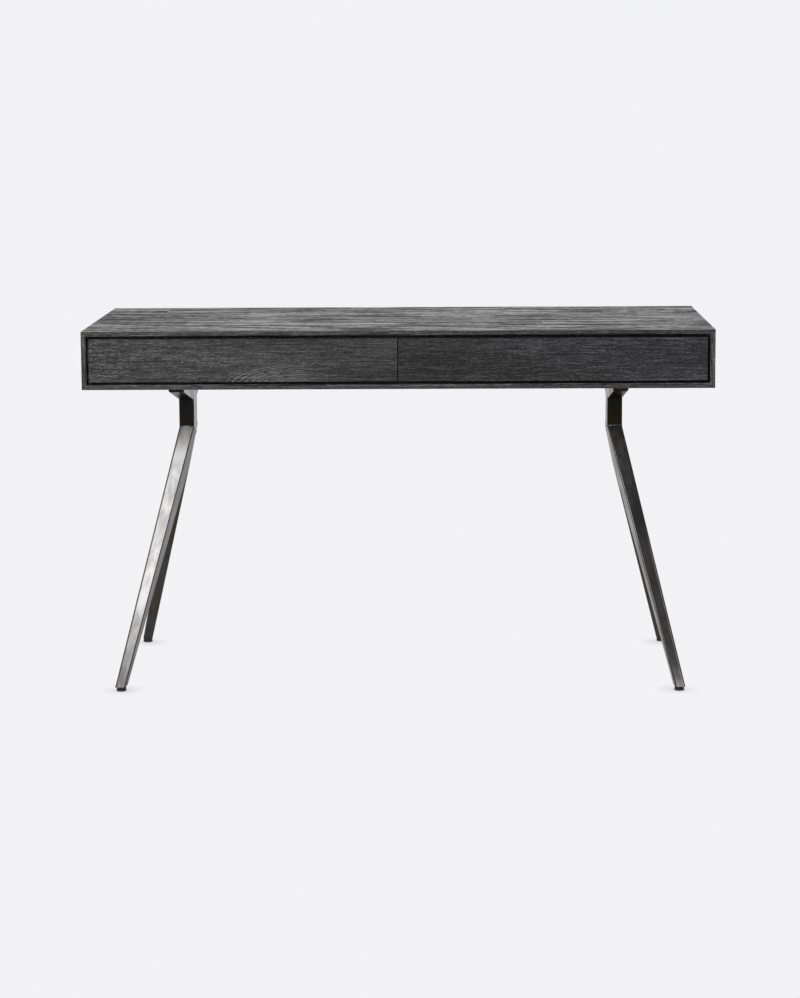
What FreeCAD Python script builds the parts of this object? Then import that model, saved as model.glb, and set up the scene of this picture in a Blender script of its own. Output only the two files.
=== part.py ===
import FreeCAD, Part
import os

# Writing desk with two push-to-open drawers in a mitred wooden box, on two welded steel leg frames.
# Millimetres. X runs along the desk, -Y is the drawer side, Z is up, and the floor is at Z = 0.
# The origin is on the floor under the middle of the desk.
# Everything at the right (+X) is modelled once, and its left twin is the mirror image.

# ---------------------------------------------------------------- driving dimensions
WIDTH = 1300.0
DEPTH = 600.0
HEIGHT = 760.0
BOX_HEIGHT = 120.0
PANEL = 18.0              # thickness of the box's panels

LIP = 10.0                # thickness of the panels where they frame the drawer fronts
LIP_CHAMFER = 3.0         # bevel inside that frame
SHADOW_GAP = 5.8          # between the frame and a drawer front
CENTRE_GAP = 2.0          # between the two drawer fronts
FRONT_THICKNESS = 18.0
FRONT_SETBACK = 1.0       # the fronts sit this far behind the frame
PUSH_GAP = 3.0            # room behind a front for the push that opens it

DRAWER_DEPTH = 500.0
DRAWER_HEIGHT = 60.0
DRAWER_SIDE = 12.0
DRAWER_BOARD = 6.0        # the drawer's bottom board
BOARD_LIFT = 9.0          # from the sides' lower edges up to that board
BOARD_GROOVE = 6.0
DOWEL_RADIUS = 3.0
DOWEL_REACH = 12.0        # into the front, and again into the side
DOWEL_HEIGHTS = (0.45, 0.80)      # shares of the drawer's height

RAIL_LENGTH = 450.0
RAIL_SETBACK = 2.0        # behind the shoulder of the panels
RAIL_THICKNESS = 12.7     # of the three rails together
RAIL_SHEET = 1.2
RAIL_PLAY = 0.4           # between the drawer rail and the drawer's side
RAIL_SCREW_INSET = 35.0   # from a rail's end to its first screw
CABINET_RAIL_DEPTH = 11.0         # from the wall to the end of its flanges
CABINET_RAIL_HALF_HEIGHT = 17.5
MIDDLE_RAIL_OFFSET = 3.0          # from the wall to its web
MIDDLE_RAIL_DEPTH = 10.5
MIDDLE_RAIL_HALF_HEIGHT = 13.5
DRAWER_RAIL_DEPTH = 6.0           # from the wall to the start of its flanges
DRAWER_RAIL_HALF_HEIGHT = 9.5
DRAWER_RAIL_TAB = 6.0             # half height of the strip that touches the drawer

LATCH_WIDTH = 16.0
LATCH_HEIGHT = 14.0
LATCH_GAP = 9.0           # from the drawer's back to the latch body
LATCH_FLANGE = 3.0        # thickness of its fixing flange
PLUNGER_RADIUS = 3.5
PLUNGER_LENGTH = 34.0
BUTTON_RADIUS = 5.0       # the plunger's tip
BUTTON_THICKNESS = 2.0
PLUNGER_PLAY = 0.05
PLUNGER_TRAVEL = 3.0
PLUNGER_TIP_GAP = 0.5

FRAME_X = 460.0           # middle plane of a leg frame
FRAME_WIDTH = 32.0
PLATE_THICKNESS = 4.0
PLATE_WIDTH = 90.0
PLATE_CORNER = 6.0
PLATE_SCREW_X = 32.0      # from the middle plane of the leg frame
PLATE_SCREW_YS = (-215.0, -75.0, 75.0, 215.0)
ARM_REACH = 250.0         # from the middle of the desk to an arm's end
ARM_END_HEIGHT = 6.5
COLUMN_HALF_DEPTH = 38.0
BEND_Z = 590.0            # where the arms' undersides meet the column
KNEE_Z = 531.0            # where the front of the column meets the front leg
CROTCH_Z = 442.0          # where the front and rear legs part
FOOT_X = 587.0            # middle of the outer edge of a leg's lower end
FOOT_Y = 276.0            # that edge
LEG_END_WIDTH = 21.0
LEG_END_DEPTH = 30.0
LEG_END_Z = 10.0
SIDE_SKEW = 0.10          # a leg's sides run this much inward for each unit towards the desk's middle
STEEL_WALL = 2.5
STEEL_ROUND = 2.5         # outside corners of the legs and columns
WELD_HEIGHT = 2.4         # a weld bead, up from the joint
WELD_STANDOUT = 0.8

GLIDE_RADIUS = 10.5
GLIDE_HEIGHT = 8.0
GLIDE_CHAMFER = 0.8
STUD_RADIUS = 4.0
STUD_PLAY = 0.05
STUD_TOP_Z = 24.0
INSERT_THICKNESS = 9.0

SCREW_RADIUS = 2.0
SCREW_LENGTH = 16.0
SCREW_TIP = 4.0           # length of the pointed part
SCREW_TIP_RADIUS = 0.4
SCREW_HEAD_RADIUS = 4.2
SCREW_CROWN_RADIUS = 3.0  # of the head's flat top
SCREW_HEAD_HEIGHT = 2.4
SCREW_DRIVE_RADIUS = 1.3
SCREW_DRIVE_DEPTH = 1.4
LOW_HEAD_RADIUS = 3.0     # of the low-headed screws that hold the rails
LOW_SCREW_REACH = 6.0     # into the wood

# ---------------------------------------------------------------- derived places
V = FreeCAD.Vector
X_AXIS = V(1, 0, 0)
Y_AXIS = V(0, 1, 0)
Z_AXIS = V(0, 0, 1)
FRONT_Y = -DEPTH / 2
BACK_Y = DEPTH / 2
BOX_Z = HEIGHT - BOX_HEIGHT
BOX_MIDDLE_Z = HEIGHT - BOX_HEIGHT / 2
FLOOR_OF_BOX_Z = BOX_Z + PANEL
CEILING_Z = HEIGHT - PANEL
WALL_X = WIDTH / 2 - PANEL              # inner face of a side panel
DIVIDER_X = PANEL / 2                   # face of the centre divider
FRONT_FACE_Y = FRONT_Y + FRONT_SETBACK
FRONT_BACK_Y = FRONT_FACE_Y + FRONT_THICKNESS
SHOULDER_Y = FRONT_BACK_Y + PUSH_GAP    # where the panels thicken behind the fronts
DRAWER_BACK_Y = FRONT_BACK_Y + DRAWER_DEPTH
DRAWER_Z = BOX_MIDDLE_Z - DRAWER_HEIGHT / 2
BOARD_Z = DRAWER_Z + BOARD_LIFT
DRAWER_OUTER_X = WALL_X - RAIL_THICKNESS - RAIL_PLAY
DRAWER_INNER_X = DIVIDER_X + RAIL_THICKNESS + RAIL_PLAY
RAIL_START_Y = SHOULDER_Y + RAIL_SETBACK
RAIL_END_Y = RAIL_START_Y + RAIL_LENGTH
DRAWER_MIDDLE_X = (DRAWER_OUTER_X + DRAWER_INNER_X) / 2
PLATE_Z = BOX_Z - PLATE_THICKNESS
LEAN = (FOOT_X - FRAME_X) / (KNEE_Z - LEG_END_Z)                  # of a leg outwards, for each unit down
STRIDE = (FOOT_Y - COLUMN_HALF_DEPTH) / (KNEE_Z - LEG_END_Z)      # of its outer edge forwards
KNEE_SLOPE = SIDE_SKEW / (LEAN - SIDE_SKEW * STRIDE)              # of the line where their sides meet
KNEE_MIDDLE_Z = KNEE_Z - KNEE_SLOPE * COLUMN_HALF_DEPTH
GLIDE_X = FOOT_X - SIDE_SKEW * LEG_END_DEPTH / 2
GLIDE_Y = FOOT_Y - LEG_END_DEPTH / 2


# ---------------------------------------------------------------- small helpers
def block(x0, x1, y0, y1, z0, z1):
    """A box between two corners."""
    return Part.makeBox(x1 - x0, y1 - y0, z1 - z0, V(x0, y0, z0))


def rod(radius, start, axis, length):
    return Part.makeCylinder(radius, length, start, axis)


def polygon(points):
    """A closed wire through the points."""
    return Part.makePolygon(points + [points[0]])


def side_prism(outline, x0, x1):
    """A (Y, Z) outline pushed along X."""
    face = Part.Face(polygon([V(x0, y, z) for y, z in outline]))
    return face.extrude(V(x1 - x0, 0, 0))


def front_prism(outline, y0, y1):
    """An (X, Z) outline pushed along Y."""
    face = Part.Face(polygon([V(x, y0, z) for x, z in outline]))
    return face.extrude(V(0, y1 - y0, 0))


def mirrored(shape):
    """The left twin of a piece on the right."""
    return shape.mirror(V(0, 0, 0), X_AXIS)


def rear_of(shape):
    """The rear twin of a piece at the front."""
    return shape.mirror(V(0, 0, 0), Y_AXIS)


def rises(edge):
    """True for an edge whose ends are at different heights."""
    start = edge.Vertexes[0].Point
    end = edge.Vertexes[-1].Point
    return abs(end.z - start.z) > 1.0


# ---------------------------------------------------------------- the box
def mitred_panel(half_span, offset, turns):
    """One panel of the box, made as a top panel and then turned by quarter turns about the box's middle.
    Its outer face is half_span wide each way and lies offset from the middle."""
    inner = offset - PANEL
    inner_half = half_span - PANEL
    outline = [(-half_span, offset), (half_span, offset), (inner_half, inner), (-inner_half, inner)]
    panel = front_prism(outline, FRONT_Y, BACK_Y)
    lip = offset - LIP
    rebate = block(-half_span, half_span, FRONT_Y, SHOULDER_Y, inner - 1, lip)
    bevel_outline = [(FRONT_Y, lip), (FRONT_Y, lip + LIP_CHAMFER), (FRONT_Y + LIP_CHAMFER, lip)]
    bevel = side_prism(bevel_outline, -half_span, half_span)
    panel = panel.cut(rebate).cut(bevel)
    panel.rotate(V(0, 0, 0), Y_AXIS, 90 * turns)
    panel.translate(V(0, 0, BOX_MIDDLE_Z))
    return panel


def plate_screw_places():
    """Where the screws pass through the right mounting plate."""
    return [V(x, y, 0) for x in (FRAME_X - PLATE_SCREW_X, FRAME_X + PLATE_SCREW_X) for y in PLATE_SCREW_YS]


def rail_screw_ys():
    """Where along its length each cabinet rail is screwed down."""
    return [RAIL_START_Y + RAIL_SCREW_INSET, (RAIL_START_Y + RAIL_END_Y) / 2, RAIL_END_Y - RAIL_SCREW_INSET]


def wood_screw(head_face, axis):
    """A pan-head screw. head_face is the middle of the seat under its head, and axis points to its tip."""
    crown = head_face - axis * SCREW_HEAD_HEIGHT
    straight = SCREW_LENGTH - SCREW_TIP
    head = Part.makeCone(SCREW_CROWN_RADIUS, SCREW_HEAD_RADIUS, SCREW_HEAD_HEIGHT, crown, axis)
    drive = rod(SCREW_DRIVE_RADIUS, crown, axis, SCREW_DRIVE_DEPTH)
    shank = rod(SCREW_RADIUS, head_face, axis, straight)
    tip = Part.makeCone(SCREW_RADIUS, SCREW_TIP_RADIUS, SCREW_TIP, head_face + axis * straight, axis)
    return head.cut(drive).fuse([shank, tip]).removeSplitter()


def plate_screws():
    """The screws that hold both leg frames to the bottom panel."""
    right = [wood_screw(V(p.x, p.y, PLATE_Z), Z_AXIS) for p in plate_screw_places()]
    return right + [mirrored(s) for s in right]


def rail_screws():
    """Low-headed screws that hold the four cabinet rails, in the rails' own thickness."""
    screws = []
    for face_x, direction in ((WALL_X, 1), (DIVIDER_X, -1)):
        for y in rail_screw_ys():
            start = V(face_x - direction * RAIL_SHEET, y, BOX_MIDDLE_Z)
            screws.append(low_screw(start, X_AXIS * direction))
    return screws + [mirrored(s) for s in screws]


def low_screw(start, axis):
    """A screw whose flat head takes up the rail's sheet. start is the middle of its head."""
    head = Part.makeCone(LOW_HEAD_RADIUS, SCREW_RADIUS, RAIL_SHEET, start, axis)
    shank = rod(SCREW_RADIUS, start + axis * RAIL_SHEET, axis, LOW_SCREW_REACH)
    return head.fuse(shank).removeSplitter()


def box_panels():
    half_width = WIDTH / 2
    half_height = BOX_HEIGHT / 2
    bottom = mitred_panel(half_width, half_height, 2)
    right = mitred_panel(half_height, half_width, 1)
    divider = block(-DIVIDER_X, DIVIDER_X, SHOULDER_Y, BACK_Y - PANEL, FLOOR_OF_BOX_Z, CEILING_Z)
    bottom = bottom.cut(plate_screws())
    screws = rail_screws()
    right = right.cut(screws)
    divider = divider.cut(screws)
    return {
        "top_panel": mitred_panel(half_width, half_height, 0),
        "bottom_panel": bottom,
        "right_side_panel": right,
        "left_side_panel": mirrored(right),
        "back_panel": block(-WALL_X, WALL_X, BACK_Y - PANEL, BACK_Y, FLOOR_OF_BOX_Z, CEILING_Z),
        "centre_divider": divider,
    }


# ---------------------------------------------------------------- the right drawer
def bottom_board():
    groove = BOARD_GROOVE
    x0 = DRAWER_INNER_X + DRAWER_SIDE - groove
    x1 = DRAWER_OUTER_X - DRAWER_SIDE + groove
    y0 = FRONT_BACK_Y - groove
    y1 = DRAWER_BACK_Y - DRAWER_SIDE + groove
    return block(x0, x1, y0, y1, BOARD_Z, BOARD_Z + DRAWER_BOARD)


def drawer_dowels():
    """Two dowels at each side, from the front's back face into both pieces."""
    dowels = []
    for x in (DRAWER_INNER_X + DRAWER_SIDE / 2, DRAWER_OUTER_X - DRAWER_SIDE / 2):
        for share in DOWEL_HEIGHTS:
            start = V(x, FRONT_BACK_Y - DOWEL_REACH, DRAWER_Z + DRAWER_HEIGHT * share)
            dowels.append(rod(DOWEL_RADIUS, start, Y_AXIS, 2 * DOWEL_REACH))
    return dowels


def drawer_front():
    x0 = CENTRE_GAP / 2
    x1 = WIDTH / 2 - LIP - SHADOW_GAP
    rim = LIP + SHADOW_GAP
    return block(x0, x1, FRONT_FACE_Y, FRONT_BACK_Y, BOX_Z + rim, HEIGHT - rim)


def drawer_pieces():
    board = bottom_board()
    cutters = [board] + drawer_dowels()
    top = DRAWER_Z + DRAWER_HEIGHT
    back_y = DRAWER_BACK_Y - DRAWER_SIDE
    inner_x = DRAWER_INNER_X + DRAWER_SIDE
    outer_x = DRAWER_OUTER_X - DRAWER_SIDE
    inner = block(DRAWER_INNER_X, inner_x, FRONT_BACK_Y, DRAWER_BACK_Y, DRAWER_Z, top)
    outer = block(outer_x, DRAWER_OUTER_X, FRONT_BACK_Y, DRAWER_BACK_Y, DRAWER_Z, top)
    back = block(inner_x, outer_x, back_y, DRAWER_BACK_Y, DRAWER_Z, top)
    return {
        "drawer_front": drawer_front().cut(cutters),
        "drawer_inner_side": inner.cut(cutters),
        "drawer_outer_side": outer.cut(cutters),
        "drawer_back": back.cut(board),
        "drawer_bottom": board,
        "drawer_dowels": Part.makeCompound(drawer_dowels()),
    }


# ---------------------------------------------------------------- the drawer slides
def rail_block(wall_x, inward, near, far, half_height):
    """A block from near to far off the wall, over the rails' length."""
    xs = sorted((wall_x + inward * near, wall_x + inward * far))
    z0 = BOX_MIDDLE_Z - half_height
    z1 = BOX_MIDDLE_Z + half_height
    return block(xs[0], xs[1], RAIL_START_Y, RAIL_END_Y, z0, z1)


def rails_on(wall_x, inward):
    """The three rails of one slide: on the cabinet, in the middle, and on the drawer. Each is a channel, and
    the drawer's opens towards the wall while the other two open away from it."""
    def piece(near, far, half_height):
        return rail_block(wall_x, inward, near, far, half_height)

    sheet = RAIL_SHEET
    outer = CABINET_RAIL_HALF_HEIGHT
    cabinet = piece(0, CABINET_RAIL_DEPTH, outer).cut(piece(sheet, CABINET_RAIL_DEPTH, outer - sheet))
    web = MIDDLE_RAIL_OFFSET
    half = MIDDLE_RAIL_HALF_HEIGHT
    middle = piece(web, MIDDLE_RAIL_DEPTH, half).cut(piece(web + sheet, MIDDLE_RAIL_DEPTH, half - sheet))
    far = RAIL_THICKNESS
    small = DRAWER_RAIL_HALF_HEIGHT
    drawer = piece(DRAWER_RAIL_DEPTH, far, small).cut(piece(DRAWER_RAIL_DEPTH, far - sheet, small - sheet))
    tab = piece(far, far + RAIL_PLAY, DRAWER_RAIL_TAB)
    return cabinet.cut(rail_screws()), middle, drawer.fuse(tab).removeSplitter()


# ---------------------------------------------------------------- the push latch behind a drawer
def latch_pieces():
    """A body on the back panel and the plunger that meets the drawer's back."""
    x = DRAWER_MIDDLE_X
    z0 = BOX_MIDDLE_Z - LATCH_HEIGHT / 2
    z1 = BOX_MIDDLE_Z + LATCH_HEIGHT / 2
    tip = V(x, DRAWER_BACK_Y + PLUNGER_TIP_GAP, BOX_MIDDLE_Z)
    body_front = DRAWER_BACK_Y + LATCH_GAP
    body_back = BACK_Y - PANEL
    body = block(x - LATCH_WIDTH / 2, x + LATCH_WIDTH / 2, body_front, body_back, z0, z1)
    flange = block(x - LATCH_WIDTH, x + LATCH_WIDTH, body_back - LATCH_FLANGE, body_back, z0, z1)
    bore_end = tip.y + PLUNGER_LENGTH + PLUNGER_TRAVEL + 1
    bore = rod(PLUNGER_RADIUS + PLUNGER_PLAY, V(x, body_front, BOX_MIDDLE_Z), Y_AXIS, bore_end - body_front)
    button = rod(BUTTON_RADIUS, tip, Y_AXIS, BUTTON_THICKNESS)
    shaft = rod(PLUNGER_RADIUS, tip + Y_AXIS * BUTTON_THICKNESS, Y_AXIS, PLUNGER_LENGTH - BUTTON_THICKNESS)
    return body.fuse(flange).cut(bore).removeSplitter(), shaft.fuse(button).removeSplitter()


# ---------------------------------------------------------------- the right leg frame
def mounting_plate():
    half = PLATE_WIDTH / 2
    plate = block(FRAME_X - half, FRAME_X + half, -ARM_REACH, ARM_REACH, PLATE_Z, BOX_Z)
    plate = plate.makeFillet(PLATE_CORNER, [e for e in plate.Edges if rises(e)])
    holes = [rod(SCREW_RADIUS, V(p.x, p.y, PLATE_Z), Z_AXIS, PLATE_THICKNESS) for p in plate_screw_places()]
    return plate.cut(holes)


def front_arm():
    """A tapered channel under the plate, open at its top and at the column."""
    x0 = FRAME_X - FRAME_WIDTH / 2
    x1 = FRAME_X + FRAME_WIDTH / 2
    wall = STEEL_WALL
    end_z = PLATE_Z - ARM_END_HEIGHT
    column_y = -COLUMN_HALF_DEPTH
    outline = [(-ARM_REACH, PLATE_Z), (-ARM_REACH, end_z), (column_y, BEND_Z), (column_y, PLATE_Z)]
    arm = side_prism(outline, x0, x1)
    lower = [e for e in arm.Edges if e.Length > ARM_REACH / 2 and e.CenterOfMass.z < PLATE_Z - 1]
    arm = arm.makeFillet(STEEL_ROUND, lower)
    inside = [(wall - ARM_REACH, PLATE_Z), (wall - ARM_REACH, end_z + wall), (column_y, BEND_Z + wall),
              (column_y, PLATE_Z)]
    return arm.cut(side_prism(inside, x0 + wall, x1 - wall))


def upright_block(grow, z0, z1):
    """A block round the column's outline, grown all round, with the column's rounded corners."""
    half_x = FRAME_WIDTH / 2 + grow
    half_y = COLUMN_HALF_DEPTH + grow
    solid = block(FRAME_X - half_x, FRAME_X + half_x, -half_y, half_y, z0, z1)
    return solid.makeFillet(STEEL_ROUND + grow, [e for e in solid.Edges if rises(e)])


def above_knee(lift, top):
    """The space above the joint of column and legs, which dips to the desk's middle plane, up to top."""
    reach = DEPTH / 2
    dip = KNEE_MIDDLE_Z + lift
    rim = dip + KNEE_SLOPE * reach
    outline = [(-reach, rim), (0, dip), (reach, rim), (reach, max(rim, top)), (-reach, max(rim, top))]
    return side_prism(outline, 0, WIDTH / 2)


def column():
    x0 = FRAME_X - FRAME_WIDTH / 2
    x1 = FRAME_X + FRAME_WIDTH / 2
    wall = STEEL_WALL
    inner_y = COLUMN_HALF_DEPTH - wall
    outer = upright_block(0, KNEE_MIDDLE_Z, PLATE_Z).common(above_knee(0, HEIGHT))
    return outer.cut(block(x0 + wall, x1 - wall, -inner_y, inner_y, KNEE_MIDDLE_Z, PLATE_Z))


def between(foot, knee, share):
    """A value part of the way from the foot (share 0) to the knee (share 1)."""
    return foot + (knee - foot) * share


def leg_section(share, inset):
    """A level section of the front leg, drawn in from its outline by inset. It is widest at the knee, where
    the legs still run into each other past the desk's middle plane."""
    inner_foot_y = LEG_END_DEPTH - FOOT_Y
    inner_knee_y = -inner_foot_y * (KNEE_Z - CROTCH_Z) / (CROTCH_Z - LEG_END_Z)
    edge_y = between(-FOOT_Y, -COLUMN_HALF_DEPTH, share)
    outer_y = edge_y + inset
    inner_y = between(inner_foot_y, inner_knee_y, share) - inset
    half = between(LEG_END_WIDTH, FRAME_WIDTH, share) / 2 - inset
    outer_x = between(FOOT_X, FRAME_X, share) - SIDE_SKEW * (outer_y - edge_y)
    inner_x = outer_x - SIDE_SKEW * (inner_y - outer_y)
    z = between(LEG_END_Z, KNEE_Z, share)
    return polygon([V(outer_x - half, outer_y, z), V(outer_x + half, outer_y, z),
                    V(inner_x + half, inner_y, z), V(inner_x - half, inner_y, z)])


def leg_loft(share, inset):
    """The front leg's solid from the foot up to share, drawn in by inset."""
    return Part.makeLoft([leg_section(0, inset), leg_section(share, inset)], True, True)


def front_leg():
    """A tapered box section that leans out and forward, from the knee to the foot."""
    leg = leg_loft(1, 0)
    leg = leg.makeFillet(STEEL_ROUND, [e for e in leg.Edges if rises(e)])
    front_half = block(0, WIDTH / 2, FRONT_Y, 0, 0, HEIGHT)
    return leg.cut(leg_loft(1, STEEL_WALL)).common(front_half).cut(above_knee(0, HEIGHT))


def foot_insert():
    """A threaded steel plug welded into the leg's end."""
    share = INSERT_THICKNESS / (KNEE_Z - LEG_END_Z)
    bore = rod(STUD_RADIUS + STUD_PLAY, V(GLIDE_X, -GLIDE_Y, 0), Z_AXIS, STUD_TOP_Z)
    return leg_loft(share, STEEL_WALL).cut(bore)


def knee_weld():
    """A bead round the foot of the column, on the legs' upper ends."""
    top = KNEE_Z + 2 * WELD_HEIGHT
    ring = upright_block(WELD_STANDOUT, KNEE_MIDDLE_Z, top).cut(upright_block(0, KNEE_MIDDLE_Z, top))
    return ring.common(above_knee(0, HEIGHT)).cut(above_knee(WELD_HEIGHT, HEIGHT))


def glide():
    """The front right glide: a threaded stud and the round pad moulded on its lower end."""
    base = V(GLIDE_X, -GLIDE_Y, 0)
    pad = rod(GLIDE_RADIUS, base, Z_AXIS, GLIDE_HEIGHT)
    pad = pad.makeChamfer(GLIDE_CHAMFER, [e for e in pad.Edges if e.Closed])
    stud = rod(STUD_RADIUS, base + Z_AXIS * (GLIDE_HEIGHT / 2), Z_AXIS, STUD_TOP_Z - GLIDE_HEIGHT / 2)
    rim = [e for e in stud.Edges if e.Closed and e.CenterOfMass.z > GLIDE_HEIGHT]
    stud = stud.makeChamfer(GLIDE_CHAMFER, rim)
    return pad.cut(stud), stud


# ---------------------------------------------------------------- the whole desk
def desk():
    """Every piece by name."""
    pieces = box_panels()
    pieces["frame_screws"] = Part.makeCompound(plate_screws())
    pieces["rail_screws"] = Part.makeCompound(rail_screws())

    right_half = drawer_pieces()
    for place, wall_x, inward in (("outer", WALL_X, -1), ("inner", DIVIDER_X, 1)):
        cabinet, middle, drawer = rails_on(wall_x, inward)
        right_half[place + "_cabinet_rail"] = cabinet
        right_half[place + "_middle_rail"] = middle
        right_half[place + "_drawer_rail"] = drawer
    right_half["latch_body"], right_half["latch_plunger"] = latch_pieces()

    right_half["mounting_plate"] = mounting_plate()
    right_half["front_arm"] = front_arm()
    right_half["rear_arm"] = rear_of(right_half["front_arm"])
    right_half["column"] = column()
    right_half["front_leg"] = front_leg()
    right_half["rear_leg"] = rear_of(right_half["front_leg"])
    pad, stud = glide()
    insert = foot_insert()
    for end, turned in (("front", lambda s: s), ("rear", rear_of)):
        right_half[end + "_glide_pad"] = turned(pad)
        right_half[end + "_glide_stud"] = turned(stud)

    for name, shape in right_half.items():
        pieces["right_" + name] = shape
        pieces["left_" + name] = mirrored(shape)

    weld = knee_weld()
    pieces["knee_welds"] = Part.makeCompound([weld, mirrored(weld)])
    inserts = [insert, rear_of(insert), mirrored(insert), mirrored(rear_of(insert))]
    pieces["foot_inserts"] = Part.makeCompound(inserts)
    return pieces


os.makedirs("parts", exist_ok=True)
for name, shape in sorted(desk().items()):
    shape.exportStep("parts/" + name + ".step")
    print(name, "solids", len(shape.Solids), "valid", shape.isValid(), "volume", round(shape.Volume))
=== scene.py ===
import math

import bmesh
import bpy
from mathutils import Matrix, Vector


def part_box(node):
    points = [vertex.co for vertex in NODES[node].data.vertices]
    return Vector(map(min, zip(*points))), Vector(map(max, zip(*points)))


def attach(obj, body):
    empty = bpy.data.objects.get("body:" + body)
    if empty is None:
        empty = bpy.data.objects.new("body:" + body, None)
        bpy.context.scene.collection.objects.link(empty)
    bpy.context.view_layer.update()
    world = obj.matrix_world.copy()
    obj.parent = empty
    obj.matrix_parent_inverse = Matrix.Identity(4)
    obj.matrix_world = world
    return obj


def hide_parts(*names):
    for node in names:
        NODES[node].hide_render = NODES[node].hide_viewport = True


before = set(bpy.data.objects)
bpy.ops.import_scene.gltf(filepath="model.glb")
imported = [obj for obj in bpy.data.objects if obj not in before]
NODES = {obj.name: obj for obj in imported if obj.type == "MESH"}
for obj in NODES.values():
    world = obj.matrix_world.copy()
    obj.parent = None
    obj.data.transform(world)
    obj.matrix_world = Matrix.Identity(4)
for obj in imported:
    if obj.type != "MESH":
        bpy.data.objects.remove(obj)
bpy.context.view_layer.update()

MM = 0.001
X, Y, Z = Vector((1, 0, 0)), Vector((0, 1, 0)), Vector((0, 0, 1))
GLIDES = [f"{side}_{end}_glide" for side in ("left", "right") for end in ("front", "rear")]


# ---------------------------------------------------------------- camera
def make_camera():
    """The photograph's view: a little right of the middle, slightly above, from about six metres."""
    lens_mm = 101.5
    place = Vector((0.1147, -6.0422, 1.2717))
    yaw, pitch, roll = 0.0194, 0.1486, -0.0057
    data = bpy.data.cameras.new("camera")
    data.sensor_width = 36
    data.lens = lens_mm
    data.clip_end = 60
    camera = bpy.data.objects.new("camera", data)
    aim = Matrix.Rotation(yaw, 3, "Z") @ Matrix.Rotation(math.pi / 2 - pitch, 3, "X")
    aim = aim @ Matrix.Rotation(roll, 3, "Z")
    camera.matrix_world = Matrix.Translation(place) @ aim.to_4x4()
    bpy.context.scene.collection.objects.link(camera)
    bpy.context.scene.camera = camera


# ---------------------------------------------------------------- shader nodes
class Shader:
    """Short calls that add and join the nodes of one material."""

    def __init__(self, name):
        self.material = bpy.data.materials.new(name)
        self.material.use_nodes = True
        self.tree = self.material.node_tree
        self.tree.nodes.clear()
        self.point = self.add("ShaderNodeTexCoord").outputs["Object"]

    def add(self, kind, inputs=None, **settings):
        node = self.tree.nodes.new(kind)
        for key, value in settings.items():
            setattr(node, key, value)
        for key, value in (inputs or {}).items():
            self.feed(node.inputs[key], value)
        return node

    def feed(self, socket, value):
        if isinstance(value, bpy.types.NodeSocket):
            self.tree.links.new(value, socket)
        else:
            socket.default_value = value

    def math(self, operation, a, b=0.0):
        return self.add("ShaderNodeMath", {0: a, 1: b}, operation=operation).outputs[0]

    def plus(self, a, b):
        return self.math("ADD", a, b)

    def minus(self, a, b):
        return self.math("SUBTRACT", a, b)

    def times(self, a, b):
        return self.math("MULTIPLY", a, b)

    def dot(self, vector, direction):
        node = self.add("ShaderNodeVectorMath", {0: vector, 1: tuple(direction)}, operation="DOT_PRODUCT")
        return node.outputs["Value"]

    def combine(self, x, y, z):
        return self.add("ShaderNodeCombineXYZ", {0: x, 1: y, 2: z}).outputs[0]

    def scaled(self, coordinates, factors):
        """Three coordinates, each times its own factor, as one vector."""
        return self.combine(*(self.times(c, f) for c, f in zip(coordinates, factors)))

    def noise(self, vector, scale=1.0, detail=3.0, roughness=0.5, distortion=0.0):
        inputs = {"Vector": vector, "Scale": scale, "Detail": detail, "Roughness": roughness,
                  "Distortion": distortion}
        return self.add("ShaderNodeTexNoise", inputs).outputs["Fac"]

    def random(self, vector):
        node = self.add("ShaderNodeTexWhiteNoise", {"Vector": vector}, noise_dimensions="3D")
        return node.outputs["Value"]

    def span(self, value, low, high, to_low=0.0, to_high=1.0, smooth=True):
        """value from low..high to to_low..to_high, clamped, with soft ends."""
        kind = "SMOOTHSTEP" if smooth else "LINEAR"
        inputs = {"Value": value, "From Min": low, "From Max": high, "To Min": to_low, "To Max": to_high}
        return self.add("ShaderNodeMapRange", inputs, interpolation_type=kind).outputs["Result"]

    def mix(self, factor, a, b, blend="MIX"):
        node = self.add("ShaderNodeMix", data_type="RGBA", blend_type=blend)
        for index, value in ((0, factor), (6, a), (7, b)):
            self.feed(node.inputs[index], value)
        return node.outputs[2]

    def dim(self, colour, level):
        """A colour times a level."""
        return self.mix(1.0, colour, self.combine(level, level, level), blend="MULTIPLY")

    def lerp(self, factor, a, b):
        return self.add("ShaderNodeMix", {0: factor, 2: a, 3: b}).outputs[0]

    def curve(self, value, points):
        """A value read off a line through (at, value) points, with at from 0 to 1."""
        top = max(level for _, level in points)
        node = self.add("ShaderNodeValToRGB", {0: value})
        stops = node.color_ramp.elements
        for at, level in points[2:]:
            stops.new(at)
        for stop, (at, level) in zip(stops, points):
            stop.position = at
            stop.color = (level / top, level / top, level / top, 1)
        return self.times(node.outputs[0], top)

    def bump(self, height, strength, distance, normal=None):
        inputs = {"Height": height, "Strength": strength, "Distance": distance}
        if normal is not None:
            inputs["Normal"] = normal
        return self.add("ShaderNodeBump", inputs).outputs["Normal"]

    def finish(self, **inputs):
        shader = self.add("ShaderNodeBsdfPrincipled")
        for key, value in inputs.items():
            self.feed(shader.inputs[key.replace("_", " ")], value)
        output = self.add("ShaderNodeOutputMaterial")
        self.tree.links.new(shader.outputs[0], output.inputs[0])
        return self.material


def grey(level, warm=0.0):
    """A colour near grey; warm above zero leans to brown."""
    return (level * (1 + warm), level, level * (1 - warm), 1.0)


def tinted(hue, shift):
    """A colour from three channels, each times its own factor."""
    return (*(channel * factor for channel, factor in zip(hue, shift)), 1.0)


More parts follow.
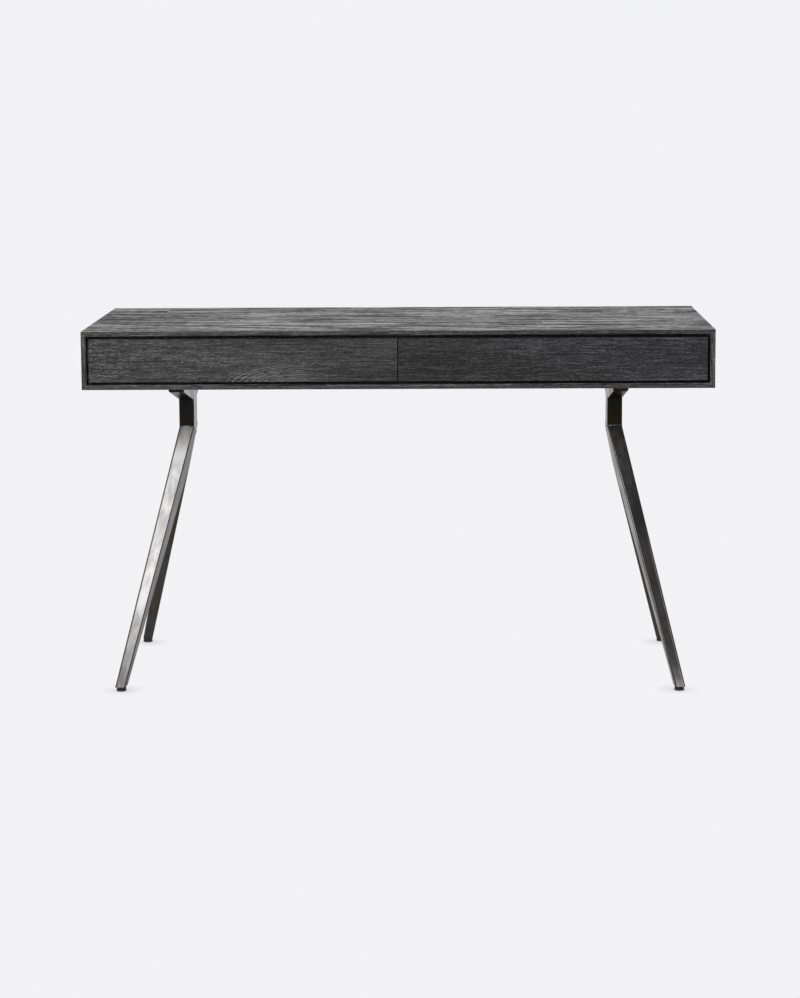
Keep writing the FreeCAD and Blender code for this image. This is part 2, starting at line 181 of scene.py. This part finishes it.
# ---------------------------------------------------------------- wood
# Layers of grain: how many features to a metre along and across it, and how strongly each one shows.
FRONT_GRAIN = ((4, 18, 2.6), (3, 430, 3.0), (28, 450, 5.2), (80, 900, 7.0), (300, 1200, 9.5))
TOP_GRAIN = ((2.2, 72, 6.4), (8, 82, 7.4), (60, 150, 4.2), (220, 320, 2.4), (150, 1800, 1.0))
END_RATE = 400            # the least rate through the board, so that its edges don't look cloudy
EDGE_TONE = 0.94          # those edges are a little darker, with calmer grain
EDGE_CONTRAST = 0.5
GRAIN_DRIFT = 30 * MM     # how far the grain wanders across the board
SEAM = 0.6 * MM           # half the width of a glue line
RING_GAP = 4 * MM         # from one growth ring to the next
RING_WOBBLE = 2.2 * MM
DARKEST, BRIGHTEST = 0.15, 5.0      # the limits of the grain, as shares of its board's tone


def wood(name, along, across, tone, hue=(1.0, 0.985, 0.985), layers=FRONT_GRAIN, contrast=1.0,
         sheen=(0.80, 0.34), stave=None, figure=None, glints=0.0, ends=None, seed=0.0):
    """Stained, wire-brushed wood. along is the grain's direction and across lies in the shown face.
    sheen is the roughness of the dull and of the shiny grain. stave is (width, length) of the glued strips,
    or None for one board. figure is (along, across, tilt, reach, past): where the tree's middle meets the
    face, how fast it leaves it, how far the arches round it show, and how far past the middle they go along
    the board. glints is the strength of a few bright, glossier streaks, a painted highlight in the colour.
    ends is (from, to, share, share) for a board whose tone changes slowly along it."""
    s = Shader(name)
    u, v, w = s.dot(s.point, along), s.dot(s.point, across), s.dot(s.point, along.cross(across))
    shade = 0.5
    seam = 0.0
    place = (u, v)
    if stave:
        width, length = stave
        row = s.math("FLOOR", s.math("DIVIDE", v, width))
        start = s.times(s.random(s.combine(row, seed, 3.0)), length * 5)
        piece = s.math("FLOOR", s.math("DIVIDE", s.plus(u, start), length))
        shade = s.random(s.combine(row, piece, seed))
        w = s.plus(w, s.times(shade, 0.9))
        edge = s.math("ABSOLUTE", s.minus(s.math("FRACT", s.math("DIVIDE", v, width)), 0.5))
        seam = s.span(edge, 0.5 - SEAM / width, 0.5)
    w = s.plus(w, seed * 1.7)
    drift = s.noise(s.scaled((u, v, w), (3.0, 9.0, 9.0)), detail=1.0)
    v = s.plus(v, s.times(drift, GRAIN_DRIFT))
    grain = (u, v, w)

    def laid(layers):
        total = 0.0
        for along_rate, across_rate, weight in layers:
            rates = (along_rate, across_rate, max(across_rate, END_RATE))
            layer = s.noise(s.scaled(grain, rates), detail=0.6)
            total = s.plus(total, s.times(s.minus(layer, 0.5), weight * contrast))
        return total

    tangle = laid(layers)       # in stops: one more is twice as bright
    if layers is not FRONT_GRAIN:
        facing = s.dot(s.add("ShaderNodeNewGeometry").outputs["True Normal"], along.cross(across))
        edge = s.span(s.math("ABSOLUTE", facing), 0.7, 0.3)
        tangle = s.lerp(edge, tangle, s.times(laid(FRONT_GRAIN[1:]), EDGE_CONTRAST))
        tone = s.lerp(edge, tone, tone * EDGE_TONE)
    tangle = s.plus(tangle, s.times(s.minus(shade, 0.5), 0.25))
    pores = s.span(s.noise(s.scaled(grain, (60.0, 1500.0, 1500.0)), detail=1.0), 0.60, 0.70)
    if figure:
        heart_u, heart_v, tilt, reach, past = figure
        wobble = s.noise(s.scaled(grain, (25.0, 90.0, 90.0)), detail=2.0)
        depth = s.times(s.minus(place[0], heart_u), tilt)
        side = s.minus(place[1], heart_v)
        radius = s.math("SQRT", s.plus(s.times(depth, depth), s.times(side, side)))
        near = s.span(radius, reach, reach * 0.75)
        near = s.times(near, s.span(place[0], heart_u + past + 0.03, heart_u + past))
        radius = s.plus(radius, s.times(wobble, RING_WOBBLE))
        rings = s.math("FRACT", s.math("DIVIDE", radius, RING_GAP))
        late = s.times(s.span(rings, 0.40, 0.65), s.span(rings, 1.0, 0.75))
        broken = s.span(s.noise(s.scaled(grain, (45.0, 160.0, 160.0)), detail=2.0), 0.34, 0.50)
        arches = s.times(s.times(late, near), broken)
        tangle = s.plus(tangle, s.times(arches, 2.9))
    # Glints: a few bright, glossier streaks, a painted highlight in the colour.
    if glints:
        glint_streaks = s.span(s.noise(s.scaled(grain, (13.0, 150.0, 150.0)), detail=1.5), 0.64, 0.76)
        tangle = s.plus(tangle, s.times(glint_streaks, glints))
    tangle = s.minus(tangle, s.times(pores, 0.5))
    tangle = s.minus(tangle, s.times(seam, 0.7))
    level = s.span(s.math("POWER", 2.0, tangle), DARKEST, BRIGHTEST, DARKEST, BRIGHTEST, smooth=False)
    patches = s.noise(s.scaled(grain, (3.0, 9.0, 9.0)))
    tint = s.mix(patches, tinted(hue, (1.05, 0.99, 0.97)), tinted(hue, (0.95, 1.01, 1.02)))
    strength = s.times(level, tone)
    if ends:
        strength = s.times(strength, s.span(place[0], *ends))
    roughness = s.span(tangle, -1.1, 1.1, *sheen, smooth=False)
    normal = s.bump(s.times(tangle, 0.25), 0.6, 0.7 * MM)
    return s.finish(Base_Color=s.dim(tint, strength), Roughness=roughness, Normal=normal)


# ---------------------------------------------------------------- metal and plastic
SCRATCH = 0.05 * MM       # the depth of brush marks and of moulded texture


def steel(name, along, base, warm=0.05, rough=0.27, patina=0.6, dents=0.25, underside=1.0,
          flanks=(1.0, 1.0), fade=None, edge_reflection=None):
    """Dark steel with a blotchy patina and brush marks that run along a direction. underside and flanks are
    the shares of its brightness on the faces turned to the floor, to -X and to +X: painted shade on the
    undersides and painted reflections on the flanks. fade is (front points, flank points), each a row of
    (height, share), for a leg whose painted reflections change from knee to foot. The last argument, for
    such a leg, is (knee, foot, width, points): the line of its outer edge as two (x, z) ends, and the width
    and (height, share) points of a band along it, a painted reflection on the rounded edge, bright or dark."""
    s = Shader(name)
    across = along.cross(Y).normalized() if abs(along.dot(Y)) < 0.9 else X
    third = along.cross(across)
    place = (s.dot(s.point, along), s.dot(s.point, across), s.dot(s.point, third))
    brush = s.noise(s.scaled(place, (40.0, 900.0, 900.0)), detail=2.0, roughness=0.6)
    streak = s.noise(s.scaled(place, (9.0, 160.0, 160.0)), detail=2.0)
    blotch = s.noise(s.scaled(place, (26.0, 60.0, 60.0)), detail=5.0, roughness=0.62, distortion=0.6)
    cloud = s.noise(s.scaled(place, (7.0, 14.0, 14.0)), detail=3.0)
    stain = s.span(s.plus(s.times(blotch, 0.6), s.times(cloud, 0.5)), 0.44, 0.70)
    clean = s.mix(brush, grey(base * 0.9, warm * 0.3), grey(base * 1.15, warm * 0.2))
    brown = s.mix(brush, grey(base * 0.40, warm * 4), grey(base * 0.75, warm * 3))
    colour = s.mix(s.times(stain, patina), clean, brown)
    facing = s.add("ShaderNodeNewGeometry").outputs["True Normal"]
    # Painted shade on faces turned to the floor and painted reflections on the flanks, as shares of
    # brightness.
    painted_light = s.span(s.dot(facing, Z), -0.6, -0.95, 1.0, underside)
    for direction, share in zip((-X, X), flanks):
        painted_light = s.times(painted_light, s.span(s.dot(facing, direction), 0.15, 0.7, 1.0, share))
    # The specular tint takes the painted shade only, never above 1.
    rim = s.math("MINIMUM", painted_light, 1.0)
    # Painted reflections that brighten or darken the leg from knee to foot, on its front and on its flanks.
    if fade:
        height = s.dot(s.point, Z)
        front_points, flank_points = fade
        flank = s.span(s.math("ABSOLUTE", s.dot(facing, X)), 0.03, 0.12)
        painted_light = s.times(painted_light, s.lerp(flank, s.curve(height, front_points), s.curve(height, flank_points)))
        # A painted reflection along the rounded outer edge: a band that is darker or lighter by height.
        if edge_reflection:
            (knee_x, knee_z), (foot_x, foot_z), width, points = edge_reflection
            slope = (foot_x - knee_x) / (foot_z - knee_z)
            inside = s.minus(s.dot(s.point, Vector((1, 0, -slope))), knee_x - slope * knee_z)
            edge_reflection_band = s.span(s.math("ABSOLUTE", inside), width * 1.2, width * 0.8)
            edge_reflection_band = s.times(edge_reflection_band, s.minus(1.0, flank))
            painted_light = s.times(painted_light, s.lerp(edge_reflection_band, 1.0, s.curve(height, points)))
    # The painted shade and reflections scale the colour here.
    colour = s.dim(colour, painted_light)
    roughness = s.plus(s.times(stain, 0.12), s.times(brush, 0.08))
    roughness = s.plus(roughness, s.times(streak, 0.08))
    roughness = s.plus(roughness, rough - 0.10)
    marks = s.plus(s.times(brush, 0.5), s.times(streak, 0.3))
    normal = s.bump(cloud, dents, 1.0 * MM, s.bump(marks, 0.3, SCRATCH))
    return s.finish(Base_Color=colour, Metallic=1.0, Roughness=roughness,
                    Specular_Tint=s.combine(rim, rim, rim), Normal=normal)


def zinc(name):
    """Bright zinc plating with faint spangle and rolling marks along the rails."""
    s = Shader(name)
    place = (s.dot(s.point, Y), s.dot(s.point, X), s.dot(s.point, Z))
    roll = s.noise(s.scaled(place, (12.0, 700.0, 700.0)), detail=2.0)
    spangle = s.add("ShaderNodeTexVoronoi", {"Vector": s.point, "Scale": 260.0}).outputs["Color"]
    spot = s.dot(spangle, (0.33, 0.33, 0.33))
    colour = s.mix(s.times(spot, 0.5), grey(0.50, -0.02), grey(0.66, 0.01))
    roughness = s.plus(s.times(roll, 0.14), s.times(spot, 0.08))
    roughness = s.plus(roughness, 0.18)
    return s.finish(Base_Color=colour, Metallic=1.0, Roughness=roughness, Normal=s.bump(roll, 0.2, SCRATCH))


def plastic(name, level=0.018):
    """Moulded black plastic with a fine spark-eroded texture and scuffs."""
    s = Shader(name)
    grain = s.noise(s.point, scale=2600.0, detail=2.0)
    scuff = s.span(s.noise(s.point, scale=160.0, detail=4.0, roughness=0.6), 0.52, 0.72)
    colour = s.mix(scuff, grey(level, 0.02), grey(level * 2.6, 0.05))
    roughness = s.plus(s.times(grain, 0.12), s.times(scuff, 0.14))
    roughness = s.plus(roughness, 0.38)
    return s.finish(Base_Color=colour, Roughness=roughness, Normal=s.bump(grain, 0.3, SCRATCH))


# ---------------------------------------------------------------- materials on the CAD pieces
def paint(node, material):
    """Gives a CAD piece one material, in every slot that it has."""
    slots = NODES[node].material_slots
    if not slots:
        NODES[node].data.materials.append(material)
    for slot in slots:
        slot.material = material


def soften(node, width):
    """Breaks the sharp edges of a CAD piece."""
    bevel = NODES[node].modifiers.new("soft_edges", "BEVEL")
    bevel.width = width
    bevel.segments = 2
    bevel.limit_method = "ANGLE"
    bevel.angle_limit = math.radians(35)


def paint_box():
    stave = (0.085, 0.75)
    flat = dict(layers=TOP_GRAIN, stave=stave, sheen=(0.92, 0.29))
    top = wood("black_wood_top", X, Y, tone=0.0350, hue=(1.01, 0.945, 0.94), contrast=1.12, glints=1.3,
               seed=1.0, **flat)
    under = wood("black_wood_bottom", X, Y, tone=0.042, seed=4.0, **flat)
    side = wood("black_wood_side", Z, Y, tone=0.041, stave=stave, seed=2.0)
    back = wood("black_wood_back", X, Z, tone=0.043, figure=(-0.2, 0.72, 0.2, 0.06, 0.3), seed=3.0)
    left = wood("black_wood_left_front", X, Z, tone=0.0262, contrast=0.72, seed=5.0,
                figure=(-0.20, 0.645, 0.32, 0.056, 0.0), ends=(-0.6, -0.05, 1.17, 0.76))
    right = wood("black_wood_right_front", X, Z, tone=0.0200, hue=(1.0, 0.93, 1.02), contrast=0.96, seed=6.0,
                 figure=(0.176, 0.648, 0.45, 0.030, 0.1), ends=(0.05, 0.6, 0.60, 1.34))
    for node, material in (("top_panel", top), ("bottom_panel", under), ("left_side_panel", side),
                           ("right_side_panel", side), ("back_panel", back), ("centre_divider", back),
                           ("left_drawer_front", left), ("right_drawer_front", right)):
        paint(node, material)
        soften(node, 0.6 * MM)


def paint_drawers():
    look = dict(tone=0.20, hue=(1.0, 0.66, 0.38), contrast=0.35, sheen=(0.6, 0.42))
    lengthwise = wood("drawer_wood_sides", Y, Z, **look)
    crosswise = wood("drawer_wood_back", X, Z, **look)
    board = wood("drawer_wood_bottom", X, Y, **look)
    for side in ("left", "right"):
        for part, material in (("outer_side", lengthwise), ("inner_side", lengthwise), ("back", crosswise),
                               ("bottom", board), ("dowels", lengthwise)):
            paint(f"{side}_drawer_{part}", material)
        for part in ("outer_side", "inner_side", "back"):
            soften(f"{side}_drawer_{part}", 0.8 * MM)


def leg_direction(side, end):
    """From a leg's knee to its foot, taken from the leg's own box."""
    low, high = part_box(f"{side}_{end}_leg")
    knee_x, foot_x = (low.x, high.x) if side == "right" else (high.x, low.x)
    knee_y, foot_y = (high.y, low.y) if end == "front" else (low.y, high.y)
    return Vector((foot_x - knee_x, foot_y - knee_y, low.z - high.z)).normalized()


def outer_edge(side, end):
    """The (x, z) of the knee and of the foot on a leg's outer edge."""
    low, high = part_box(f"{side}_{end}_leg")
    column_low, column_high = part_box(f"{side}_column")
    knee_x, foot_x = (column_high.x, high.x) if side == "right" else (column_low.x, low.x)
    return (knee_x, high.z), (foot_x, low.z)


def paint_frames():
    """The legs' fronts and flanks have painted reflections: their colours differ from side to side and from
    end to end, as polished metal does when it mirrors a studio."""
    column = steel("dark_steel_column", Z, base=0.036, warm=0.20, rough=0.24, patina=0.8)
    # The arms' undersides are darker: painted shade.
    arm = steel("dark_steel_arm", Y, base=0.045, warm=0.12, underside=0.40)
    rear = dict(base=0.050, warm=0.16, patina=0.8)
    # Painted reflections on the front legs: the left one a lit copy that mirrors the key light, the right
    # one a shaded copy, lighter near its foot. Each row gives shares of brightness by height.
    left_face_reflection = ((0.0, 0.40), (0.05, 0.52), (0.12, 0.72), (0.18, 1.05), (0.26, 1.2), (0.36, 1.15),
                    (0.42, 1.3), (0.455, 2.1), (0.475, 3.7), (0.50, 4.3), (0.53, 4.8))
    left_flank_reflection = ((0.0, 0.6), (0.1, 0.9), (0.35, 1.35), (0.53, 0.72))
    bright = dict(base=0.19, patina=0.10, rough=0.33, dents=0.08, flanks=(0.30, 0.75),
                  fade=(left_face_reflection, left_flank_reflection))
    right_face_reflection = ((0.0, 9.0), (0.02, 6.0), (0.05, 2.0), (0.10, 1.3), (0.18, 1.0), (0.35, 0.95), (0.44, 1.5),
                  (0.50, 3.0), (0.53, 3.6))
    right_flank_reflection = ((0.0, 0.06), (0.05, 0.25), (0.15, 0.75), (0.30, 1.0), (0.53, 1.2))
    dark = dict(base=0.10, warm=0.07, patina=0.35, rough=0.28, flanks=(0.95, 0.8),
                fade=(right_face_reflection, right_flank_reflection))
    # Painted reflections along the front legs' outer edges: a dark line on the left leg, a bright one on the
    # right.
    edge_reflections = {"left": (3.4 * MM, ((0.0, 0.10), (0.53, 0.14))),
            "right": (4.4 * MM, ((0.0, 1.1), (0.03, 2.0), (0.06, 3.4), (0.25, 4.2), (0.33, 1.0)))}
    for side, front in (("left", bright), ("right", dark)):
        for end, look in (("front", front), ("rear", rear)):
            name = f"dark_steel_{side}_{end}_leg"
            edge_reflection_band = (*outer_edge(side, end), *edge_reflections[side]) if end == "front" else None
            paint(f"{side}_{end}_leg", steel(name, leg_direction(side, end), edge_reflection=edge_reflection_band, **look))
            paint(f"{side}_{end}_arm", arm)
        paint(f"{side}_column", column)
        paint(f"{side}_mounting_plate", arm)
    paint("foot_inserts", column)


def paint_fittings(bright, black):
    for node in NODES:
        if node.endswith(("_rail", "_screws", "_stud")):
            paint(node, bright)
        if node.endswith("_pad") or "_latch_" in node:
            paint(node, black)


# ---------------------------------------------------------------- pieces rebuilt in finer detail
def mesh_piece(name, build, material, body, nodes, smooth=35):
    """A new piece from a bmesh that build fills. It rides on body in place of the CAD nodes."""
    mesh = bpy.data.meshes.new(name)
    data = bmesh.new()
    build(data)
    bmesh.ops.remove_doubles(data, verts=data.verts, dist=1e-6)
    bmesh.ops.recalc_face_normals(data, faces=data.faces)
    for edge in data.edges:
        edge.smooth = len(edge.link_faces) == 2 and edge.calc_face_angle() < math.radians(smooth)
    for face in data.faces:
        face.smooth = True
    data.to_mesh(mesh)
    data.free()
    piece = bpy.data.objects.new(name, mesh)
    bpy.context.scene.collection.objects.link(piece)
    mesh.materials.append(material)
    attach(piece, body)
    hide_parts(*nodes)


def rings_to_faces(data, rings):
    """Joins closed rings of points into quads. Each ring has as many points as the next."""
    rows = [[data.verts.new(point) for point in ring] for ring in rings]
    for low, high in zip(rows, rows[1:]):
        for corners in zip(low, low[1:] + low[:1], high[1:] + high[:1], high):
            data.faces.new(corners)
    return rows


def turned(data, profile, place, axis, steps=40, wobble=None, capped=True):
    """A shape turned on a lathe. profile is (radius, distance along the axis) from end to end; wobble, if
    given, is a function of (angle, row) that adds to the radius. The near end is left open unless capped.
    Gives back the near end's points."""
    side = axis.orthogonal().normalized()
    other = axis.cross(side)
    rings = []
    for row, (radius, distance) in enumerate(profile):
        ring = []
        for i in range(steps):
            angle = math.tau * i / steps
            reach = radius + (wobble(angle, row) if wobble else 0.0)
            ring.append(place + axis * distance + (side * math.cos(angle) + other * math.sin(angle)) * reach)
        rings.append(ring)
    rows = rings_to_faces(data, rings)
    if capped:
        data.faces.new(list(reversed(rows[0])))
    data.faces.new(rows[-1])
    return rows[0]


def rounded(radius, start, end, corner, steps=4):
    """The profile of a disc from start to end along its axis, with both rims rounded."""
    quarter = [math.radians(90 * i / steps) for i in range(steps + 1)]
    low = [(radius - corner + corner * math.sin(a), start + corner - corner * math.cos(a)) for a in quarter]
    high = [(radius - corner + corner * math.cos(a), end - corner + corner * math.sin(a)) for a in quarter]
    return low + high


def upright(low, high):
    """The middle of its bottom, the radius and the height of a round, upright part that fills a box."""
    return Vector(((low.x + high.x) / 2, (low.y + high.y) / 2, low.z)), (high.x - low.x) / 2, high.z - low.z


def make_pads(material):
    """The moulded glide pads: a rounded foot with a groove near its top, and the CAD pad's size."""
    for glide in GLIDES:
        middle, radius, tall = upright(*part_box(f"{glide}_pad"))
        foot = rounded(radius, 0.0, tall * 0.62, 1.2 * MM)
        neck = [(radius - 1.1 * MM, tall * 0.64), (radius - 1.1 * MM, tall * 0.70)]
        collar = rounded(radius - 0.3 * MM, tall * 0.72, tall, 0.7 * MM)

        def build(data):
            turned(data, foot + neck + collar, middle, Z, steps=64)

        mesh_piece(f"{glide}_foot", build, material, glide, [f"{glide}_pad"])


def make_studs(material):
    """The glides' studs, with a real M8 thread as a helix that fades out at the top."""
    pitch = 1.25 * MM
    depth = 0.55 * MM
    rows_per_turn = 8
    for glide in GLIDES:
        middle, radius, tall = upright(*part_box(f"{glide}_stud"))
        count = int(tall / pitch * rows_per_turn)
        profile = [(radius, tall * i / count) for i in range(count + 1)]

        def thread(angle, row):
            phase = (row / rows_per_turn - angle / math.tau) % 1.0
            ease = min(1.0, (count - row) / rows_per_turn)
            return -depth * (abs(2 * phase - 1) + (1 - ease))

        def build(data):
            turned(data, profile, middle, Z, steps=32, wobble=thread)

        mesh_piece(f"{glide}_thread", build, material, glide, [f"{glide}_stud"], smooth=60)


def parts_of(node):
    """The separate solids of a CAD node, as (lowest corner, highest corner) pairs."""
    data = bmesh.new()
    data.from_mesh(NODES[node].data)
    data.transform(NODES[node].matrix_world)
    bmesh.ops.remove_doubles(data, verts=data.verts, dist=1e-6)
    left = set(data.verts)
    boxes = []
    while left:
        group = [left.pop()]
        for vert in group:
            for edge in vert.link_edges:
                other = edge.other_vert(vert)
                if other in left:
                    left.remove(other)
                    group.append(other)
        xs, ys, zs = zip(*(v.co for v in group))
        boxes.append((Vector((min(xs), min(ys), min(zs))), Vector((max(xs), max(ys), max(zs)))))
    data.free()
    return sorted(boxes, key=lambda box: tuple(box[0]))


def cross_recess(data, rim, place, axis, reach, width, depth):
    """The flat of a screw's head, inside the rim's points, with a cross let into it. reach is the length of
    its arms, and width is half their width."""
    side = axis.orthogonal().normalized()
    other = axis.cross(side)
    outline = [(width, width), (width, reach), (-width, reach), (-width, width), (-reach, width),
               (-reach, -width), (-width, -width), (-width, -reach), (width, -reach), (width, -width),
               (reach, -width), (reach, width)]
    taper = 0.55
    rings = [[place + axis * down + (side * a + other * b) * share for a, b in outline]
             for down, share in ((0.0, 1.0), (depth, taper))]
    rows = rings_to_faces(data, rings)
    data.faces.new(rows[-1])
    loops = [data.edges.get(pair) for loop in (rim, rows[0]) for pair in zip(loop, loop[1:] + loop[:1])]
    bmesh.ops.triangle_fill(data, use_beauty=True, edges=loops)


def make_screws(material):
    """Domed, threaded screws with a cross recess, each in the place of its CAD screw."""
    head = 2.4 * MM
    gap = 0.1 * MM          # from the head to the first turn
    pitch = 1.8 * MM
    rows_per_turn = 6
    root = 0.72             # the thread's root as a share of its crest
    boxes = parts_of("frame_screws")

    def build(data):
        for low, high in boxes:
            middle, radius, tall = upright(low, high)
            shank = radius * 0.47
            angles = [math.radians(90 * i / 8) for i in range(3, 9)]
            dome = [(radius * math.sin(a), head * 0.57 * (1 - math.cos(a))) for a in angles]
            profile = dome + [(radius, head), (shank, head)]
            rows = int((tall - head) / pitch * rows_per_turn)
            for i in range(rows + 1):
                share = i / rows
                point = 1.0 - max(0.0, share - 0.75) * 3.4
                crest = root if i % rows_per_turn else 1.0
                profile.append((shank * crest * point, head + gap + (tall - head - gap) * share))
            rim = turned(data, profile, middle, Z, steps=20, capped=False)
            flat, start = dome[0]
            cross_recess(data, rim, middle + Z * start, Z, flat * 0.88, flat * 0.24, 1.2 * MM)

    mesh_piece("frame_screw_set", build, material, "desk", ["frame_screws"])


def weld_steel(name):
    """A silvery weld bead with heat-tinted and sooty patches."""
    s = Shader(name)
    ripple = s.noise(s.point, scale=420.0, detail=3.0)
    patch = s.span(s.noise(s.point, scale=75.0, detail=3.0, roughness=0.6), 0.46, 0.60)
    soot = s.mix(ripple, grey(0.06, 0.2), grey(0.17, 0.12))
    silver = s.mix(ripple, grey(0.42, 0.04), grey(0.75, 0.02))
    roughness = s.plus(s.times(ripple, 0.30), 0.16)
    return s.finish(Base_Color=s.mix(patch, soot, silver), Metallic=1.0, Roughness=roughness,
                    Normal=s.bump(ripple, 0.5, 0.4 * MM))


def column_outline(middle, count):
    """Points round a column's outline at one height, with the outward direction at each."""
    low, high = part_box("right_column")
    corner = 2.5 * MM
    straight_x = (high.x - low.x) / 2 - corner
    straight_y = (high.y - low.y) / 2 - corner
    quarter = corner * math.pi / 2
    total = 4 * (straight_x + straight_y + quarter)
    corners = ((straight_x, straight_y, 0), (-straight_x, straight_y, 90), (-straight_x, -straight_y, 180),
               (straight_x, -straight_y, 270))
    points = []
    for i in range(count):
        left = total * i / count
        for x, y, first in corners:
            centre = middle + Vector((x, y, 0))
            angle = math.radians(first) + min(left, quarter) / corner
            out = Vector((math.cos(angle), math.sin(angle), 0))
            side = 2 * straight_x if first in (0, 180) else 2 * straight_y
            if left < quarter + side:
                way = Vector((-out.y, out.x, 0)) * max(0.0, left - quarter)
                points.append((centre + out * corner + way, out))
                break
            left -= quarter + side
    return points


def make_welds(material):
    """Hand-laid beads round the knees: a rippled rope that swells and thins along the joint."""
    half_height = 1.2 * MM
    buried = 0.4 * MM
    count = 420
    column_low, column_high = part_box("right_column")
    boxes = parts_of("knee_welds")

    def build(data):
        for low, high in boxes:
            standout = ((high.y - low.y) - (column_high.y - column_low.y)) / 2
            middle = Vector(((low.x + high.x) / 2, (low.y + high.y) / 2, low.z + half_height))
            dip = (high.z - low.z - 2 * half_height) / (high.y - low.y) * 2
            rings = []
            for i, (point, out) in enumerate(column_outline(middle, count)):
                t = i / count * math.tau
                swell = 0.72 + 0.16 * math.sin(7 * t + low.x * 9) + 0.12 * math.sin(17 * t + 1.3)
                swell = min(1.0, swell + 0.10 * math.cos(i * math.tau / 5))
                drift = (0.25 * math.sin(5 * t + 0.7) + 0.15 * math.sin(13 * t)) * half_height * 0.4
                point = point + Z * abs(point.y) * dip
                ring = []
                for j in range(9):
                    a = math.radians(-90 + 180 * j / 8)
                    rise = max(-half_height, min(half_height, math.sin(a) * half_height * swell + drift))
                    ring.append(point + out * math.cos(a) * standout * swell + Z * rise)
                ring.append(point - out * buried)
                rings.append(ring)
            rings.append(rings[0])
            rings_to_faces(data, rings)

    mesh_piece("knee_weld_beads", build, material, "desk", ["knee_welds"], smooth=80)


# ---------------------------------------------------------------- studio
def sweep():
    """A pale floor that curves up into a backdrop. It mostly glows, so shadows on it stay faint; it is
    darker round the feet, a painted contact shadow.
    """
    front, back, height, bend = -2.6, 5.0, 7.0, 2.5
    half = 9.0
    profile = [(front, 0.0)]
    for i in range(25):
        angle = math.radians(90 * i / 24)
        profile.append((back - bend + bend * math.sin(angle), bend - bend * math.cos(angle)))
    profile.append((back, height))
    mesh = bpy.data.meshes.new("sweep")
    points = [(x, y, z) for y, z in profile for x in (-half, half)]
    faces = [(2 * i, 2 * i + 1, 2 * i + 3, 2 * i + 2) for i in range(len(profile) - 1)]
    mesh.from_pydata(points, [], faces)
    mesh.polygons.foreach_set("use_smooth", [True] * len(faces))
    sheet = bpy.data.objects.new("sweep", mesh)
    bpy.context.scene.collection.objects.link(sheet)
    s = Shader("sweep")
    foot_shadow_glow, clear = 0.62, 0.905        # how brightly it glows at the feet, a painted contact shadow, and away from them
    # A painted contact shadow: the glow dims where ambient occlusion finds the feet close by.
    near = s.add("ShaderNodeAmbientOcclusion", {"Distance": 0.045}, samples=12).outputs["AO"]
    strength = s.span(near, 0.35, 1.0, foot_shadow_glow, clear, smooth=False)
    glow = s.add("ShaderNodeEmission", {"Color": (0.983, 0.983, 1.0, 1.0), "Strength": strength})
    output = s.add("ShaderNodeOutputMaterial")
    s.tree.links.new(glow.outputs[0], output.inputs[0])
    mesh.materials.append(s.material)


def softbox(name, place, target, size, power):
    """An area light that shines from place to target. The camera doesn't see it."""
    light = bpy.data.lights.new(name, "AREA")
    light.shape = "RECTANGLE"
    light.size, light.size_y = size
    light.energy = power
    lamp = bpy.data.objects.new(name, light)
    lamp.location = place
    lamp.rotation_mode = "QUATERNION"
    lamp.rotation_quaternion = (Vector(target) - Vector(place)).to_track_quat("-Z", "Y")
    bpy.context.scene.collection.objects.link(lamp)
    lamp.visible_camera = False


def make_studio():
    """Soft light from the front left, which the left legs mirror, from above and faintly from the right."""
    sweep()
    softbox("key", (-1.25, -2.9, 2.35), (-0.5, 0.0, 0.4), (1.7, 2.9), 90)
    softbox("side", (3.4, 0.9, 1.2), (0.55, -0.2, 0.3), (2.6, 1.4), 14)
    softbox("top", (0.0, 0.6, 3.4), (0.0, 0.0, 0.7), (4.0, 3.0), 60)
    world = bpy.data.worlds.new("studio")
    world.use_nodes = True
    background = world.node_tree.nodes["Background"]
    background.inputs["Color"].default_value = (0.10, 0.10, 0.105, 1.0)
    background.inputs["Strength"].default_value = 1.0
    bpy.context.scene.world = world
    bpy.context.scene.view_settings.view_transform = "Standard"


make_camera()
paint_box()
paint_drawers()
paint_frames()
zinc_plate, black_plastic = zinc("zinc_steel"), plastic("black_plastic")
paint_fittings(zinc_plate, black_plastic)
make_pads(black_plastic)
make_studs(zinc_plate)
make_screws(zinc_plate)
make_welds(weld_steel("weld_steel"))
make_studio()
